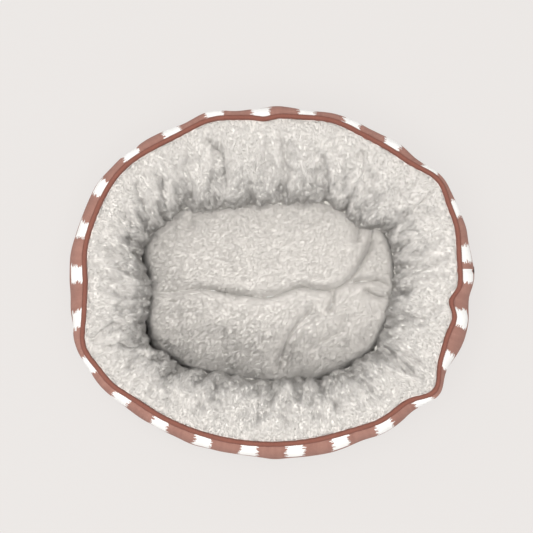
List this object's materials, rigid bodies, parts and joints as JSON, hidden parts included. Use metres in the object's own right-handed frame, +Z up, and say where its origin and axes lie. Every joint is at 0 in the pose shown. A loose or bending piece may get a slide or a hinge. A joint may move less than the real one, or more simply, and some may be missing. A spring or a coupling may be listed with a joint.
{
  "type": "oval plush pet bed",
  "caption": "Oval soft-sided pet bed: a stuffed plush roll gathered inwards over a loose plush cushion, in a printed cotton wall with a rolled rim binding.",
  "frame": {"origin": "on the floor, under the middle of the bed", "axes": "+X along the bed's length towards the end with the label, +Y to the back, +Z up"},
  "size_m": [0.5023, 0.437, 0.16],
  "materials": {
    "printed_cotton": "plain-weave cotton, brown with rows of ragged white dashes",
    "binding_cotton": "red-brown plain-weave cotton, rolled over a cord",
    "plush": "short-pile grey-beige faux fur",
    "polyester_fibre": "loose white hollow-fibre filling",
    "foam": "open-cell polyurethane foam",
    "elastic": "covered round elastic",
    "plain_cloth": "plain non-woven backing cloth",
    "slip_resistant_cloth": "dark woven cloth with small rubber dots",
    "label_satin": "dark satin ribbon, blank"
  },
  "bodies": {
    "bed": {"outer_wall_cover": "printed_cotton", "wall_foam": "foam", "bolster_filling": "polyester_fibre", "bolster_plush_cover": "plush", "rim_binding": "binding_cotton", "lip_elastic": "elastic", "inner_wall_lining": "plush", "base_piping": "binding_cotton", "base_cover": "slip_resistant_cloth", "base_pad": "foam", "floor_lining": "plain_cloth", "side_label": "label_satin"},
    "cushion": {"cushion_underside": "plain_cloth", "cushion_filling": "polyester_fibre", "cushion_plush_cover": "plush"}
  },
  "joints": [
    {"name": "cushion_lift", "type": "slide", "parent": "bed", "child": "cushion", "axis": [0, 0, 1], "range_m": [0, 0.17]}
  ]
}
